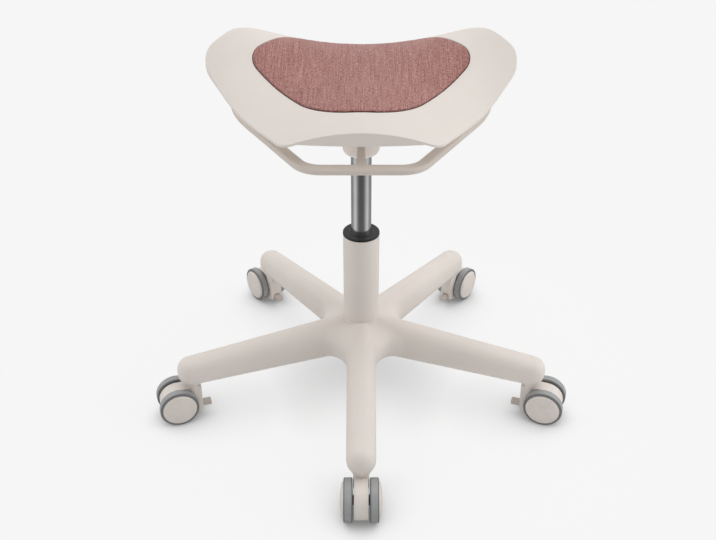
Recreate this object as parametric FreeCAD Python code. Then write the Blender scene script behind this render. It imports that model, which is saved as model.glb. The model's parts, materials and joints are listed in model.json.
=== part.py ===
import FreeCAD, Part
import math
import os
from FreeCAD import Vector

# Height-adjustable saddle stool: a five-arm base on braked twin-wheel casters, a gas lift,
# and a saddle seat with an upholstered inlay and a ring lever below it.
# Lengths are millimetres and angles degrees. The floor is at height zero, +Z is up, the
# seat's nose points to -Y, and the origin is the middle of the footprint.

# Five-arm base
ARM_COUNT = 5
FRONT_ARM_ANGLE = 270.0
ARM_REACH = 253.7
ARM_TIP_HALF_WIDTH = 19.0
ARM_TIP_HALF_HEIGHT = 19.75
ARM_ROOT_HALF_WIDTH = 21.3
ARM_ROOT_HALF_HEIGHT = 31.7
ARM_RISE = 14.9
ARM_ROUNDNESS = 2.4
ARM_SECTION_POINTS = 16
ARM_CROTCH_RADIUS = 38.0
CROTCH_REACH = 51.0
CROTCH_EDGE_LEAST = 2.0
CROTCH_ANGLE_SLACK = 1.0
ARM_POCKET_START = 48.0
ARM_POCKET_WALL = 5.0
ARM_POCKET_WIDTH_SHARE = 0.66
RIB_END_SHARE = 0.74
RIB_COUNT = 4
RIB_THICKNESS = 3.2
HUB_COLLAR_WALL = 2.4
HUB_COLLAR_ROUND = 1.6
HUB_COLLAR_DROP = 3.0
SOCKET_RADIUS = 5.55
SOCKET_DEPTH = 24.0
SOCKET_BOSS_WALL = 7.0
CASTER_HEADROOM = 0.8

# Gas lift
TUBE_RADIUS = 25.4
TUBE_WALL = 2.0
TUBE_LENGTH = 213.5
TUBE_BELOW_HUB = 17.0
TUBE_FLOOR = 3.0
TUBE_TAPER = 0.9
TUBE_SEAT_GAP = 0.03
CYLINDER_RADIUS = 14.0
CYLINDER_WALL = 1.75
CYLINDER_LENGTH = 212.0
CYLINDER_ENGAGED = 55.5
CYLINDER_TAPER_LENGTH = 31.0
CYLINDER_TAPER = 0.8
CYLINDER_CROWN = 9.0
BUSH_LENGTH = 68.0
BUSH_FLANGE_RADIUS = 25.7
BUSH_FLANGE_HEIGHT = 3.4
BUSH_FLANGE_ROUND = 1.1
BUSH_COLLAR_WALL = 4.2
BUSH_COLLAR_HEIGHT = 1.6
ROD_RADIUS = 5.0
ROD_NECK_RADIUS = 4.0
ROD_TAIL = 6.0
ROD_LENGTH = 190.0
PISTON_HEIGHT = 12.0
SEAL_HEIGHT = 14.0
SEAL_LIP = 2.0
BEARING_HEIGHT = 8.0
BEARING_WALL = 7.0
CLIP_HEIGHT = 1.6
CLIP_WALL = 3.4
CLIP_MOUTH = 6.0
VALVE_PIN_RADIUS = 3.5
VALVE_PIN_HEIGHT = 9.0
VALVE_PIN_STEM = 12.0
VALVE_DOME_RADIUS = 6.0
RUNNING_GAP = 0.05
PISTON_GAP = 0.3

# Head under the seat
HEAD_RADIUS = 25.0
HEAD_SKIRT = 0.5
HEAD_BOWL_RADIUS = 9.4
HEAD_RISE = 49.0
PLATE_HALF_WIDTH = 45.0
PLATE_HALF_DEPTH = 40.0
PLATE_THICKNESS = 4.0
PLATE_CORNER = 8.0
PLATE_GAP = 1.0
SCREW_RADIUS = 2.0
SCREW_HEAD_RADIUS = 4.2
SCREW_HEAD_HEIGHT = 2.4
SCREW_LENGTH = 12.0
SCREW_X = 35.0
SCREW_Y = 30.0
HEAD_SCREW_CIRCLE = 18.0
HEAD_SCREW_COUNT = 4
POST_RADIUS = 7.0
POST_HEIGHT = 10.5

# Ring lever
RING_WIDTH = 16.5
RING_HEIGHT = 9.4
RING_ROUND = 4.3
RING_ABOVE_CYLINDER = 8.0
RING_FRONT = 127.5
RING_BACK = 129.3
RING_NOSE_HALF = 68.0
RING_NOSE_RADIUS = 34.0
RING_SIDE_HALF = 170.3
RING_SIDE_Y = 43.5
RING_SIDE_RADIUS = 200.0
RING_BACK_HALF = 178.6
RING_BACK_RADIUS = 38.0
STRUT_WIDTH = 10.6
STRUT_HEIGHT = 8.6
STRUT_ROUND = 2.0
PIVOT_Y = 18.0
PIVOT_RADIUS = 2.5
PIVOT_HALF_LENGTH = 17.0
LEVER_SIDE_GAP = 1.0
LEVER_LIFT_ROOM = 6.0
LEVER_DROP_ROOM = 4.5
FINGER_GAP = 0.3
FINGER_HALF_LENGTH = 9.0

# Saddle seat
SEAT_FRONT = 128.0
NOSE_HALF = 94.6
NOSE_RADIUS = 25.0
WING_HALF = 211.4
WING_Y = 30.1
WING_RADIUS = 32.4
SHOULDER_HALF = 160.5
SHOULDER_Y = 93.3
SHOULDER_RADIUS = 88.0
BACK_Y = 138.6
BACK_RADIUS = 400.0
SEAT_RIM_HALF = 206.0
SADDLE_STEP = 50.0
SADDLE_RISE = 10.0
SADDLE_CREST_SHARES = (-2.18, -0.99, -0.28, 0.0, 0.67, 0.66, -0.79)
WING_LIFT = 45.0
WING_LIFT_SHARES = (-2.62, -1.78, -1.11, -0.12, 0.6, 1.15, 1.27)
WING_CURL = 8.0
WING_CURL_SHARES = (0.0, 0.0, 0.0, 0.0, 0.0, 1.0, 0.1)
UNDERSIDE_DEPTH = 34.0
UNDERSIDE_SHARES = (1.045, 1.055, 1.0, 0.85, 0.65, 0.4, 0.36)
UNDERSIDE_LIFT = 50.0
UNDERSIDE_LIFT_SHARES = (0.3, 0.26, 0.24, 0.48, 0.86, 1.09, 1.2)
UNDERSIDE_CURL = 50.0
UNDERSIDE_CURL_SHARES = (0.0, 0.0, 0.0, 0.0, 0.23, 1.06, 2.6)
SADDLE_COLUMNS = 9
SADDLE_OVERRUN_SHARE = 1.25
RIM_THICKNESS = 2.8
RIM_ROUND = 1.1
SHELL_WALL = 3.5
RIM_LAND = 5.0
COVER_WALL = 2.5
COVER_GAP = 0.2

# Upholstered inlay
PAD_FRONT = 90.4
PAD_NOSE_HALF = 53.3
PAD_NOSE_RADIUS = 82.0
PAD_SIDE_HALF = 152.8
PAD_SIDE_Y = 39.5
PAD_SIDE_RADIUS = 36.0
PAD_BACK_HALF = 99.8
PAD_BACK_Y = 105.4
PAD_BACK_CORNER = 60.0
PAD_TAIL_Y = 117.0
PAD_TAIL_RADIUS = 280.0
PAD_RECESS = 8.0
PAD_SEAM_GAP = 0.5
PAD_CROWN = 2.2
BOARD_THICKNESS = 2.5
COVER_CLOTH = 1.2
PAD_ROUND = 3.0
LAYER_GAP = 0.1

# Twin-wheel casters
WHEEL_RADIUS = 27.6
CASTER_TRAIL = 23.0
TYRE_DEPTH = 3.8
TYRE_WIDTH = 11.5
TYRE_ROUND = 1.8
WHEEL_INNER = 11.0
WHEEL_WALL = 2.6
WHEEL_FACE = 2.2
WHEEL_DOME = 2.2
WHEEL_HUB_RADIUS = 6.5
WHEEL_HUB_GAP = 0.35
AXLE_RADIUS = 3.0
AXLE_CAP = 3.0
HOUSING_HALF_WIDTH = 9.25
HOUSING_INSET = 2.9
HOUSING_ROUND = 1.2
NECK_RADIUS = 10.3
HOUSING_BACK = 11.4
NECK_GAP = 0.4
STEM_RADIUS = 5.5
STEM_IN_ARM = 22.0
STEM_IN_CASTER = 28.0
STEM_CHAMFER = 1.0
BRAKE_PIVOT_X = 5.0
BRAKE_PIVOT_Z = 15.0
BRAKE_TAB_LENGTH = 13.0
BRAKE_TAB_HALF_WIDTH = 4.5
BRAKE_TAB_HEIGHT = 6.4
BRAKE_KNUCKLE_RADIUS = 4.0
BRAKE_TRUNNION_RADIUS = 1.6
BRAKE_TRUNNION_BITE = 3.0
BRAKE_GAP = 0.4
BRAKE_SWING_ROOM = 2.6
BRAKE_ROUND = 1.0

OVERRUN = 60.0
SEAT_REACH = 120.0
NO_LENGTH = 1e-6

# Heights that follow from the pieces below each other
ARM_TIP_BOTTOM = 2 * WHEEL_RADIUS + CASTER_HEADROOM
ARM_TIP_Z = ARM_TIP_BOTTOM + ARM_TIP_HALF_HEIGHT
ARM_ROOT_Z = ARM_TIP_Z + ARM_RISE
HUB_BOTTOM = ARM_ROOT_Z - ARM_ROOT_HALF_HEIGHT
HUB_TOP = ARM_ROOT_Z + ARM_ROOT_HALF_HEIGHT - HUB_COLLAR_DROP
TUBE_BOTTOM = HUB_BOTTOM - TUBE_BELOW_HUB
TUBE_TOP = TUBE_BOTTOM + TUBE_LENGTH
CYLINDER_BOTTOM = TUBE_TOP - CYLINDER_ENGAGED
CYLINDER_TOP = CYLINDER_BOTTOM + CYLINDER_LENGTH
TAPER_BOTTOM = CYLINDER_TOP - CYLINDER_TAPER_LENGTH
HEAD_BOTTOM = TAPER_BOTTOM - HEAD_SKIRT
HEAD_TOP = CYLINDER_TOP + HEAD_RISE
PLATE_TOP = HEAD_TOP + PLATE_THICKNESS
SEAT_Z = PLATE_TOP + POST_HEIGHT + SHELL_WALL + PAD_RECESS
RING_Z = CYLINDER_TOP + RING_ABOVE_CYLINDER
VALVE_TOP = CYLINDER_TOP + VALVE_PIN_HEIGHT
STRUT_TOP = RING_Z + RING_HEIGHT / 2
STRUT_BOTTOM = STRUT_TOP - STRUT_HEIGHT
PIVOT_Z = (STRUT_TOP + STRUT_BOTTOM) / 2

# The column stands behind the middle of the footprint, because one arm points forwards
REAR_ARM_ANGLE = math.radians(FRONT_ARM_ANGLE + 2 * 360.0 / ARM_COUNT)
WHEEL_REACH = ARM_REACH + CASTER_TRAIL + WHEEL_RADIUS
TYRE_OUTER = WHEEL_INNER + TYRE_WIDTH
REAR_REACH = WHEEL_REACH * math.sin(REAR_ARM_ANGLE) + TYRE_OUTER * math.cos(REAR_ARM_ANGLE)
COLUMN_Y = (WHEEL_REACH - abs(REAR_REACH)) / 2

Z_AXIS = Vector(0, 0, 1)
ORIGIN = Vector(0, 0, 0)
PIECES = {}


def keep(name, shape):
    """Move a finished piece from the column's axis to the part's own frame and keep it."""
    shape = shape.copy()
    shape.translate(Vector(0, COLUMN_Y, 0))
    PIECES[name] = shape


def flat(a, b):
    """Place of an outline point that lies in a level plane."""
    return Vector(a, b, 0)


def upright(a, b):
    """Place of an outline point whose second number is a height."""
    return Vector(a, 0, b)


def outline(corners, place):
    """Closed wire round the corners (a, b, radius), each rounded by its own radius."""
    spans = []
    for index, (a, b, radius) in enumerate(corners):
        corner = Vector(a, b, 0)
        back = Vector(*corners[index - 1][:2], 0) - corner
        ahead = Vector(*corners[(index + 1) % len(corners)][:2], 0) - corner
        back.normalize()
        ahead.normalize()
        if radius == 0:
            spans.append((corner, corner, corner))
            continue
        half = back.getAngle(ahead) / 2
        inward = back + ahead
        inward.normalize()
        setback = radius / math.tan(half)
        middle = corner + inward * (radius / math.sin(half) - radius)
        spans.append((corner + back * setback, middle, corner + ahead * setback))
    edges = []
    for index, (start, middle, end) in enumerate(spans):
        following = spans[(index + 1) % len(spans)][0]
        if (end - start).Length > NO_LENGTH:
            arc = Part.Arc(*[place(p.x, p.y) for p in (start, middle, end)])
            edges.append(arc.toShape())
        if (following - end).Length > NO_LENGTH:
            edges.append(Part.makeLine(place(end.x, end.y), place(following.x, following.y)))
    return Part.Wire(edges)


def both_sides(half):
    """Full list of corners from the right-hand half, which runs from front to back."""
    left = [(-a, b, radius) for a, b, radius in reversed(half) if a != 0]
    return half + left


def level_prism(corners, bottom, top):
    """Upright prism on a level outline."""
    wire = outline(corners, flat)
    wire.translate(Vector(0, 0, bottom))
    return Part.Face(wire).extrude(Vector(0, 0, top - bottom))


def turned(corners):
    """Body turned about the Z axis from an outline of (radius, height, rounding)."""
    return Part.Face(outline(corners, upright)).revolve(ORIGIN, Z_AXIS, 360)


def rod(radius, bottom, top, x=0, y=0):
    """Upright round bar."""
    return Part.makeCylinder(radius, top - bottom, Vector(x, y, bottom))


def sleeve(outer, inner, bottom, top):
    """Upright round tube."""
    return rod(outer, bottom, top).cut(rod(inner, bottom, top))


def block(x_low, x_high, y_low, y_high, z_low, z_high):
    """Box between two corners."""
    size = (x_high - x_low, y_high - y_low, z_high - z_low)
    return Part.makeBox(*size, Vector(x_low, y_low, z_low))


def cross_pin(radius, half_length, y, z):
    """Round bar along X, centred on the middle plane."""
    return Part.makeCylinder(radius, 2 * half_length, Vector(-half_length, y, z), Vector(1, 0, 0))


def oval_point(turn, half_width, half_height):
    """Point on the squared oval that the arms have as their section."""
    across, up = math.cos(turn), math.sin(turn)
    reach = (abs(across) ** ARM_ROUNDNESS + abs(up) ** ARM_ROUNDNESS) ** (-1 / ARM_ROUNDNESS)
    return half_width * reach * across, half_height * reach * up


def arm_half_section(x, half_width, half_height, z):
    """Closed wire round the right-hand half of an arm, square to its length."""
    points = []
    for step in range(ARM_SECTION_POINTS):
        turn = 2 * math.pi * step / ARM_SECTION_POINTS + math.pi / 2
        across, up = oval_point(turn, half_width, half_height)
        points.append(Vector(x, across, z + up))
    curve = Part.BSplineCurve()
    curve.interpolate(Points=points, PeriodicFlag=True)
    crown, sole = points[0], points[ARM_SECTION_POINTS // 2]
    side = curve.toShape(curve.FirstParameter, curve.parameter(sole))
    return Part.Wire([side, Part.makeLine(sole, crown)])


def arm():
    """One arm along +X: a tapering oval beam with a half-round tip, from two mirrored halves."""
    root = arm_half_section(0, ARM_ROOT_HALF_WIDTH, ARM_ROOT_HALF_HEIGHT, ARM_ROOT_Z)
    tip = arm_half_section(ARM_REACH, ARM_TIP_HALF_WIDTH, ARM_TIP_HALF_HEIGHT, ARM_TIP_Z)
    nose = Part.Face(tip).revolve(Vector(ARM_REACH, 0, 0), Z_AXIS, 90)
    half = Part.makeLoft([root, tip], True, True).fuse(nose)
    return half.fuse(half.mirror(ORIGIN, Vector(0, 1, 0))).removeSplitter()


def turned_copies(shape, count=ARM_COUNT):
    """Copies of a piece made along +X, one on each arm."""
    copies = []
    for number in range(count):
        copy = shape.copy()
        copy.rotate(ORIGIN, Z_AXIS, FRONT_ARM_ANGLE + 360.0 * number / count)
        copies.append(copy)
    return copies


def crotch_edges(star):
    """Edges where neighbouring arms meet, halfway between them."""
    spacing = 360.0 / ARM_COUNT
    found = []
    for edge in star.Edges:
        centre = edge.CenterOfMass
        turn = math.degrees(math.atan2(centre.y, centre.x)) - FRONT_ARM_ANGLE - spacing / 2
        off = abs((turn + spacing / 2) % spacing - spacing / 2)
        reach = math.hypot(centre.x, centre.y)
        if off < CROTCH_ANGLE_SLACK and reach < CROTCH_REACH and edge.Length > CROTCH_EDGE_LEAST:
            found.append(edge)
    return found


def arm_values(x):
    """Half width, half height and centre height of an arm at a distance from the column."""
    share = x / ARM_REACH
    half_width = ARM_ROOT_HALF_WIDTH + (ARM_TIP_HALF_WIDTH - ARM_ROOT_HALF_WIDTH) * share
    half_height = ARM_ROOT_HALF_HEIGHT + (ARM_TIP_HALF_HEIGHT - ARM_ROOT_HALF_HEIGHT) * share
    return half_width, half_height, ARM_ROOT_Z - ARM_RISE * share


def arm_pockets():
    """Hollows under one arm, open downwards, with ribs left between them."""
    end = ARM_REACH - SOCKET_RADIUS - SOCKET_BOSS_WALL
    pitch = (end - ARM_POCKET_START) / RIB_COUNT
    pockets = []
    for number in range(RIB_COUNT):
        near = ARM_POCKET_START + pitch * number + RIB_THICKNESS / 2
        far = ARM_POCKET_START + pitch * (number + 1) - RIB_THICKNESS / 2
        for side in (-1, 1):
            columns = []
            for x in (near, far):
                half_width, half_height, z = arm_values(x)
                inner = side * RIB_THICKNESS / 2
                outer = side * half_width * ARM_POCKET_WIDTH_SHARE
                low = z - half_height - OVERRUN
                across = abs(outer) / half_width
                arch = (1 - across ** ARM_ROUNDNESS) ** (1 / ARM_ROUNDNESS)
                shoulder = z + half_height * arch - ARM_POCKET_WALL
                roof = z + half_height - ARM_POCKET_WALL
                places = [(inner, low), (outer, low), (outer, shoulder), (inner, roof)]
                corners = [Vector(x, y, height) for y, height in places]
                columns.append(Part.makePolygon(corners + corners[:1]))
            pockets.append(Part.makeLoft(columns, True, True))
    pockets.append(rib_relief(ARM_POCKET_START + RIB_THICKNESS / 2, end - RIB_THICKNESS / 2))
    return pockets


def rib_relief(near, far):
    """Shallow cut that keeps the ribs a little above the lower edges of the arm's walls."""
    columns = []
    for x in (near, far):
        half_width, half_height, z = arm_values(x)
        side = half_width * ARM_POCKET_WIDTH_SHARE
        low, high = z - half_height - OVERRUN, z - half_height * RIB_END_SHARE
        places = ((-side, low), (side, low), (side, high), (-side, high))
        corners = [Vector(x, y, height) for y, height in places]
        columns.append(Part.makePolygon(corners + corners[:1]))
    return Part.makeLoft(columns, True, True)


def star_base():
    """Moulded five-arm base with ribbed hollows, caster sockets and a tapered hub bore."""
    arms = turned_copies(arm().cut(rod(TUBE_RADIUS, HUB_BOTTOM - OVERRUN, HUB_TOP + OVERRUN)))
    star = arms[0].fuse(arms[1:]).removeSplitter()
    star = star.makeFillet(ARM_CROTCH_RADIUS, crotch_edges(star))
    collar = TUBE_RADIUS + HUB_COLLAR_WALL
    hub = turned([(0, HUB_BOTTOM, 0), (collar, HUB_BOTTOM, HUB_COLLAR_ROUND),
                  (collar, HUB_TOP, HUB_COLLAR_ROUND), (0, HUB_TOP, 0)])
    star = star.fuse(hub)
    boss = rod(SOCKET_RADIUS + SOCKET_BOSS_WALL, ARM_TIP_BOTTOM, ARM_TIP_Z, ARM_REACH)
    star = star.fuse(turned_copies(boss))
    hollows = arm_pockets()
    hollows.append(rod(SOCKET_RADIUS, ARM_TIP_BOTTOM - OVERRUN, ARM_TIP_BOTTOM + SOCKET_DEPTH, ARM_REACH))
    for hollow in hollows:
        star = star.cut(turned_copies(hollow))
    return star.cut(hub_bore()).removeSplitter()


def tube_radius_at(z):
    """Outer radius of the lift's tube, which narrows where it sits in the hub."""
    share = min(max((HUB_TOP - z) / (HUB_TOP - TUBE_BOTTOM), 0), 1)
    return TUBE_RADIUS - TUBE_TAPER * share


def tube_body(grow, bottom, top):
    """Solid with the tube's outer form between two heights, larger all round by grow."""
    corners = [(0, bottom, 0), (tube_radius_at(bottom) + grow, bottom, 0)]
    corners.append((tube_radius_at(HUB_TOP) + grow, HUB_TOP, 0))
    if top > HUB_TOP:
        corners.append((TUBE_RADIUS + grow, top, 0))
    corners.append((0, top, 0))
    return turned(corners)


def hub_bore():
    """Space of the tube in the hub."""
    return tube_body(TUBE_SEAT_GAP, TUBE_BOTTOM, HUB_TOP + OVERRUN)


def gas_lift():
    """Tube, guide, bearing and spring of the column, from the floor of the tube upwards."""
    bore = TUBE_RADIUS - TUBE_TAPER - TUBE_WALL
    guide_bore = TUBE_RADIUS - TUBE_WALL
    guide_bottom = TUBE_TOP - BUSH_LENGTH
    floor = TUBE_BOTTOM + TUBE_FLOOR
    tube = tube_body(0, TUBE_BOTTOM, TUBE_TOP)
    tube = tube.cut(rod(bore, floor, guide_bottom))
    tube = tube.cut(rod(guide_bore, guide_bottom, TUBE_TOP + OVERRUN))
    tube = tube.cut(rod(ROD_NECK_RADIUS + RUNNING_GAP, TUBE_BOTTOM - OVERRUN, TUBE_TOP))
    keep("outer_tube", tube)

    hole = CYLINDER_RADIUS + RUNNING_GAP
    lip = TUBE_TOP + BUSH_FLANGE_HEIGHT
    collar = lip + BUSH_COLLAR_HEIGHT
    bush = turned([(hole, guide_bottom, 0), (guide_bore, guide_bottom, 0), (guide_bore, TUBE_TOP, 0),
                   (BUSH_FLANGE_RADIUS, TUBE_TOP, 0), (BUSH_FLANGE_RADIUS, lip, BUSH_FLANGE_ROUND),
                   (hole + BUSH_COLLAR_WALL, lip, 0), (hole + BUSH_COLLAR_WALL / 2, collar, 0),
                   (hole, collar, 0)])
    keep("guide_bush", bush)

    bearing_top = floor + BEARING_HEIGHT
    bearing = sleeve(ROD_RADIUS + BEARING_WALL, ROD_NECK_RADIUS + RUNNING_GAP, floor, bearing_top)
    keep("thrust_bearing", bearing)

    clip_top = TUBE_BOTTOM - LAYER_GAP
    clip_bottom = clip_top - CLIP_HEIGHT
    clip = sleeve(ROD_NECK_RADIUS + CLIP_WALL, ROD_NECK_RADIUS, clip_bottom, clip_top)
    mouth = block(0, OVERRUN, -CLIP_MOUTH / 2, CLIP_MOUTH / 2, clip_bottom, clip_top)
    keep("retaining_clip", clip.cut(mouth))

    rod_bottom = TUBE_BOTTOM - ROD_TAIL
    rod_top = bearing_top + ROD_LENGTH
    stem = rod(ROD_NECK_RADIUS, rod_bottom, bearing_top).fuse(rod(ROD_RADIUS, bearing_top, rod_top))
    keep("piston_rod", stem.removeSplitter())
    cylinder_bore = CYLINDER_RADIUS - CYLINDER_WALL
    piston = turned([(0, rod_top, 0), (cylinder_bore - PISTON_GAP, rod_top, 0),
                     (cylinder_bore - PISTON_GAP, rod_top + PISTON_HEIGHT, 0), (0, rod_top + PISTON_HEIGHT, 0)])
    keep("piston_head", piston)

    neck = CYLINDER_RADIUS - CYLINDER_TAPER
    spring = turned([(0, CYLINDER_BOTTOM, 0), (CYLINDER_RADIUS, CYLINDER_BOTTOM, 0),
                     (CYLINDER_RADIUS, TAPER_BOTTOM, 0), (neck, CYLINDER_TOP, 0), (0, CYLINDER_TOP, 0)])
    spring = spring.cut(rod(cylinder_bore, CYLINDER_BOTTOM, CYLINDER_TOP - CYLINDER_CROWN))
    valve_bore = VALVE_PIN_RADIUS + RUNNING_GAP
    spring = spring.cut(rod(valve_bore, CYLINDER_TOP - CYLINDER_CROWN, CYLINDER_TOP))
    keep("pressure_cylinder", spring)

    seal_bottom = CYLINDER_BOTTOM + SEAL_LIP
    seal = sleeve(cylinder_bore, ROD_RADIUS + RUNNING_GAP, seal_bottom, seal_bottom + SEAL_HEIGHT)
    keep("rod_seal", seal)

    pin_bottom = VALVE_TOP - VALVE_PIN_HEIGHT - VALVE_PIN_STEM
    pin = rod(VALVE_PIN_RADIUS, pin_bottom, VALVE_TOP)
    dome = Part.makeSphere(VALVE_DOME_RADIUS, Vector(0, 0, VALVE_TOP - VALVE_DOME_RADIUS))
    stem_part = rod(VALVE_PIN_RADIUS, pin_bottom, VALVE_TOP - VALVE_DOME_RADIUS)
    keep("valve_pin", pin.common(dome).fuse(stem_part).removeSplitter())


def lever_room():
    """Space inside the head in which the lever's strut tilts, deeper behind the spring."""
    side = STRUT_WIDTH / 2 + LEVER_SIDE_GAP
    low = CYLINDER_TOP + LAYER_GAP
    high = STRUT_TOP + LEVER_LIFT_ROOM
    room = block(-side, side, -OVERRUN, OVERRUN, low, high)
    return room.fuse(block(-side, side, CYLINDER_RADIUS, OVERRUN, low - LEVER_DROP_ROOM, high))


def screw_places():
    """Where the seat's screws stand, seen from above."""
    return [(x, y) for x in (-SCREW_X, SCREW_X) for y in (-SCREW_Y, SCREW_Y)]


def head_screw_places():
    """Where the head's screws stand, seen from above."""
    turns = [2 * math.pi * (number + 0.5) / HEAD_SCREW_COUNT for number in range(HEAD_SCREW_COUNT)]
    return [(HEAD_SCREW_CIRCLE * math.cos(t), HEAD_SCREW_CIRCLE * math.sin(t)) for t in turns]


def countersunk(x, y, face, upwards):
    """Screw with a flush head in the plate's lower or upper face."""
    way = 1 if upwards else -1
    head = Part.makeCone(SCREW_HEAD_RADIUS, SCREW_RADIUS, SCREW_HEAD_HEIGHT,
                         Vector(x, y, face), Vector(0, 0, way))
    shank = Part.makeCylinder(SCREW_RADIUS, SCREW_LENGTH, Vector(x, y, face), Vector(0, 0, way))
    return head.fuse(shank).removeSplitter()


def plate_corners(grow):
    """Corners of the seat's plate, larger all round by grow."""
    width, depth = PLATE_HALF_WIDTH + grow, PLATE_HALF_DEPTH + grow
    places = ((-width, -depth), (width, -depth), (width, depth), (-width, depth))
    return [(x, y, PLATE_CORNER) for x, y in places]


def seat_head():
    """Moulded head that the gas spring's taper wedges into, its plate, screws and pivot pin."""
    head = turned([(0, HEAD_BOTTOM, 0), (HEAD_RADIUS, HEAD_BOTTOM, HEAD_BOWL_RADIUS),
                   (HEAD_RADIUS, HEAD_TOP, 0), (0, HEAD_TOP, 0)])
    neck = CYLINDER_RADIUS - CYLINDER_TAPER
    socket = turned([(0, HEAD_BOTTOM - OVERRUN, 0), (CYLINDER_RADIUS, HEAD_BOTTOM - OVERRUN, 0),
                     (CYLINDER_RADIUS, TAPER_BOTTOM, 0), (neck, CYLINDER_TOP, 0),
                     (neck, CYLINDER_TOP + LAYER_GAP, 0), (0, CYLINDER_TOP + LAYER_GAP, 0)])
    head = head.cut(socket).cut(lever_room())
    head = head.cut(cross_pin(PIVOT_RADIUS, HEAD_RADIUS, -PIVOT_Y, PIVOT_Z))
    keep("lever_pivot_pin", cross_pin(PIVOT_RADIUS, PIVOT_HALF_LENGTH, -PIVOT_Y, PIVOT_Z))

    plate = level_prism(plate_corners(0), HEAD_TOP, PLATE_TOP)
    seat_screws = [countersunk(x, y, HEAD_TOP, True) for x, y in screw_places()]
    head_screws = [countersunk(x, y, PLATE_TOP, False) for x, y in head_screw_places()]
    plate = plate.cut(seat_screws + head_screws)
    keep("mount_plate", plate)
    keep("seat_screws", Part.makeCompound(seat_screws))
    keep("head_screws", Part.makeCompound(head_screws))
    keep("seat_head", head.cut(head_screws))
    return seat_screws


def ring_corners():
    """Right-hand half of the ring's centre line, from front to back."""
    return [(RING_NOSE_HALF, -RING_FRONT, RING_NOSE_RADIUS), (RING_SIDE_HALF, RING_SIDE_Y, RING_SIDE_RADIUS),
            (RING_BACK_HALF, RING_BACK, RING_BACK_RADIUS)]


def ring_lever():
    """Closed handle loop with a strut that crosses the head and bears on the valve pin."""
    path = outline(both_sides(ring_corners()), flat)
    path.translate(Vector(0, 0, RING_Z))
    start = path.Edges[0].Vertexes[0].Point
    tangent = path.Edges[0].tangentAt(path.Edges[0].FirstParameter)
    half_width, half_height = RING_WIDTH / 2, RING_HEIGHT / 2
    section = outline([(-half_width, -half_height, RING_ROUND), (half_width, -half_height, RING_ROUND),
                       (half_width, half_height, RING_ROUND), (-half_width, half_height, RING_ROUND)], upright)
    turn = math.degrees(math.atan2(tangent.y, tangent.x)) - 90
    section.rotate(ORIGIN, Z_AXIS, turn)
    section.translate(start)
    loop = path.makePipeShell([section], True, True)

    side = STRUT_WIDTH / 2
    strut = block(-side, side, -RING_FRONT, RING_BACK, STRUT_BOTTOM, STRUT_TOP)
    long_edges = [e for e in strut.Edges if abs(e.tangentAt(e.FirstParameter).y) > 0.5]
    strut = strut.makeFillet(STRUT_ROUND, long_edges)
    finger = VALVE_TOP + FINGER_GAP
    relief = block(-side, side, -FINGER_HALF_LENGTH, CYLINDER_RADIUS, STRUT_BOTTOM - OVERRUN, finger)
    strut = strut.cut(relief)
    lever = loop.fuse(strut)
    lever = lever.cut(cross_pin(PIVOT_RADIUS + RUNNING_GAP, HEAD_RADIUS, -PIVOT_Y, PIVOT_Z))
    keep("ring_lever", lever)


def saddle_face(centre, centre_scale, centre_shares, lift, lift_shares, curl, curl_shares):
    """Curved face: a profile along the middle plane and a raised or lowered wing on each side."""
    rows = []
    middle = len(centre_shares) // 2
    for number, shares in enumerate(zip(centre_shares, lift_shares, curl_shares)):
        y = SADDLE_STEP * (number - middle)
        row = []
        for column in range(SADDLE_COLUMNS):
            across = SADDLE_OVERRUN_SHARE * (2 * column / (SADDLE_COLUMNS - 1) - 1)
            wing = lift * shares[1] * across ** 2 + curl * shares[2] * across ** 4
            z = centre + centre_scale * shares[0] + wing
            row.append(Vector(SEAT_RIM_HALF * across, y, z))
        rows.append(row)
    surface = Part.BSplineSurface()
    surface.interpolate(rows)
    return surface.toShape()


def top_face(offset):
    """Seat's top surface, moved up by offset."""
    return saddle_face(SEAT_Z + offset, SADDLE_RISE, SADDLE_CREST_SHARES, WING_LIFT, WING_LIFT_SHARES,
                       WING_CURL, WING_CURL_SHARES)


def under_face(offset):
    """Seat's lower surface, moved up by offset."""
    return saddle_face(SEAT_Z + offset, -UNDERSIDE_DEPTH, UNDERSIDE_SHARES, UNDERSIDE_LIFT,
                       UNDERSIDE_LIFT_SHARES, UNDERSIDE_CURL, UNDERSIDE_CURL_SHARES)


def seat_outline(inset):
    """Seat seen from above: a narrow nose, straight thighs and round wings."""
    half = [(NOSE_HALF, -SEAT_FRONT, NOSE_RADIUS), (WING_HALF, WING_Y, WING_RADIUS),
            (SHOULDER_HALF, SHOULDER_Y, SHOULDER_RADIUS), (0, BACK_Y, BACK_RADIUS)]
    return drawn_in(outline(both_sides(half), flat), inset)


def pad_outline(inset):
    """Inlay seen from above, a smaller form of the same kind as the seat."""
    half = [(PAD_NOSE_HALF, -PAD_FRONT, PAD_NOSE_RADIUS), (PAD_SIDE_HALF, PAD_SIDE_Y, PAD_SIDE_RADIUS),
            (PAD_BACK_HALF, PAD_BACK_Y, PAD_BACK_CORNER), (0, PAD_TAIL_Y, PAD_TAIL_RADIUS)]
    return drawn_in(outline(both_sides(half), flat), inset)


def drawn_in(wire, inset):
    """Outline moved inwards by inset, or outwards where inset is negative."""
    if inset == 0:
        return wire
    return wire.makeOffset2D(-inset)


def column_of(wire):
    """Tall prism on a level outline, through the whole height of the seat."""
    low = wire.copy()
    low.translate(Vector(0, 0, SEAT_Z - SEAT_REACH))
    return Part.Face(low).extrude(Vector(0, 0, 2 * SEAT_REACH))


def sheet(face, wire, thickness):
    """Part of a curved face inside a level outline, made solid upwards or, if negative, downwards."""
    return face.common(column_of(wire)).Faces[0].extrude(Vector(0, 0, thickness))


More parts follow.
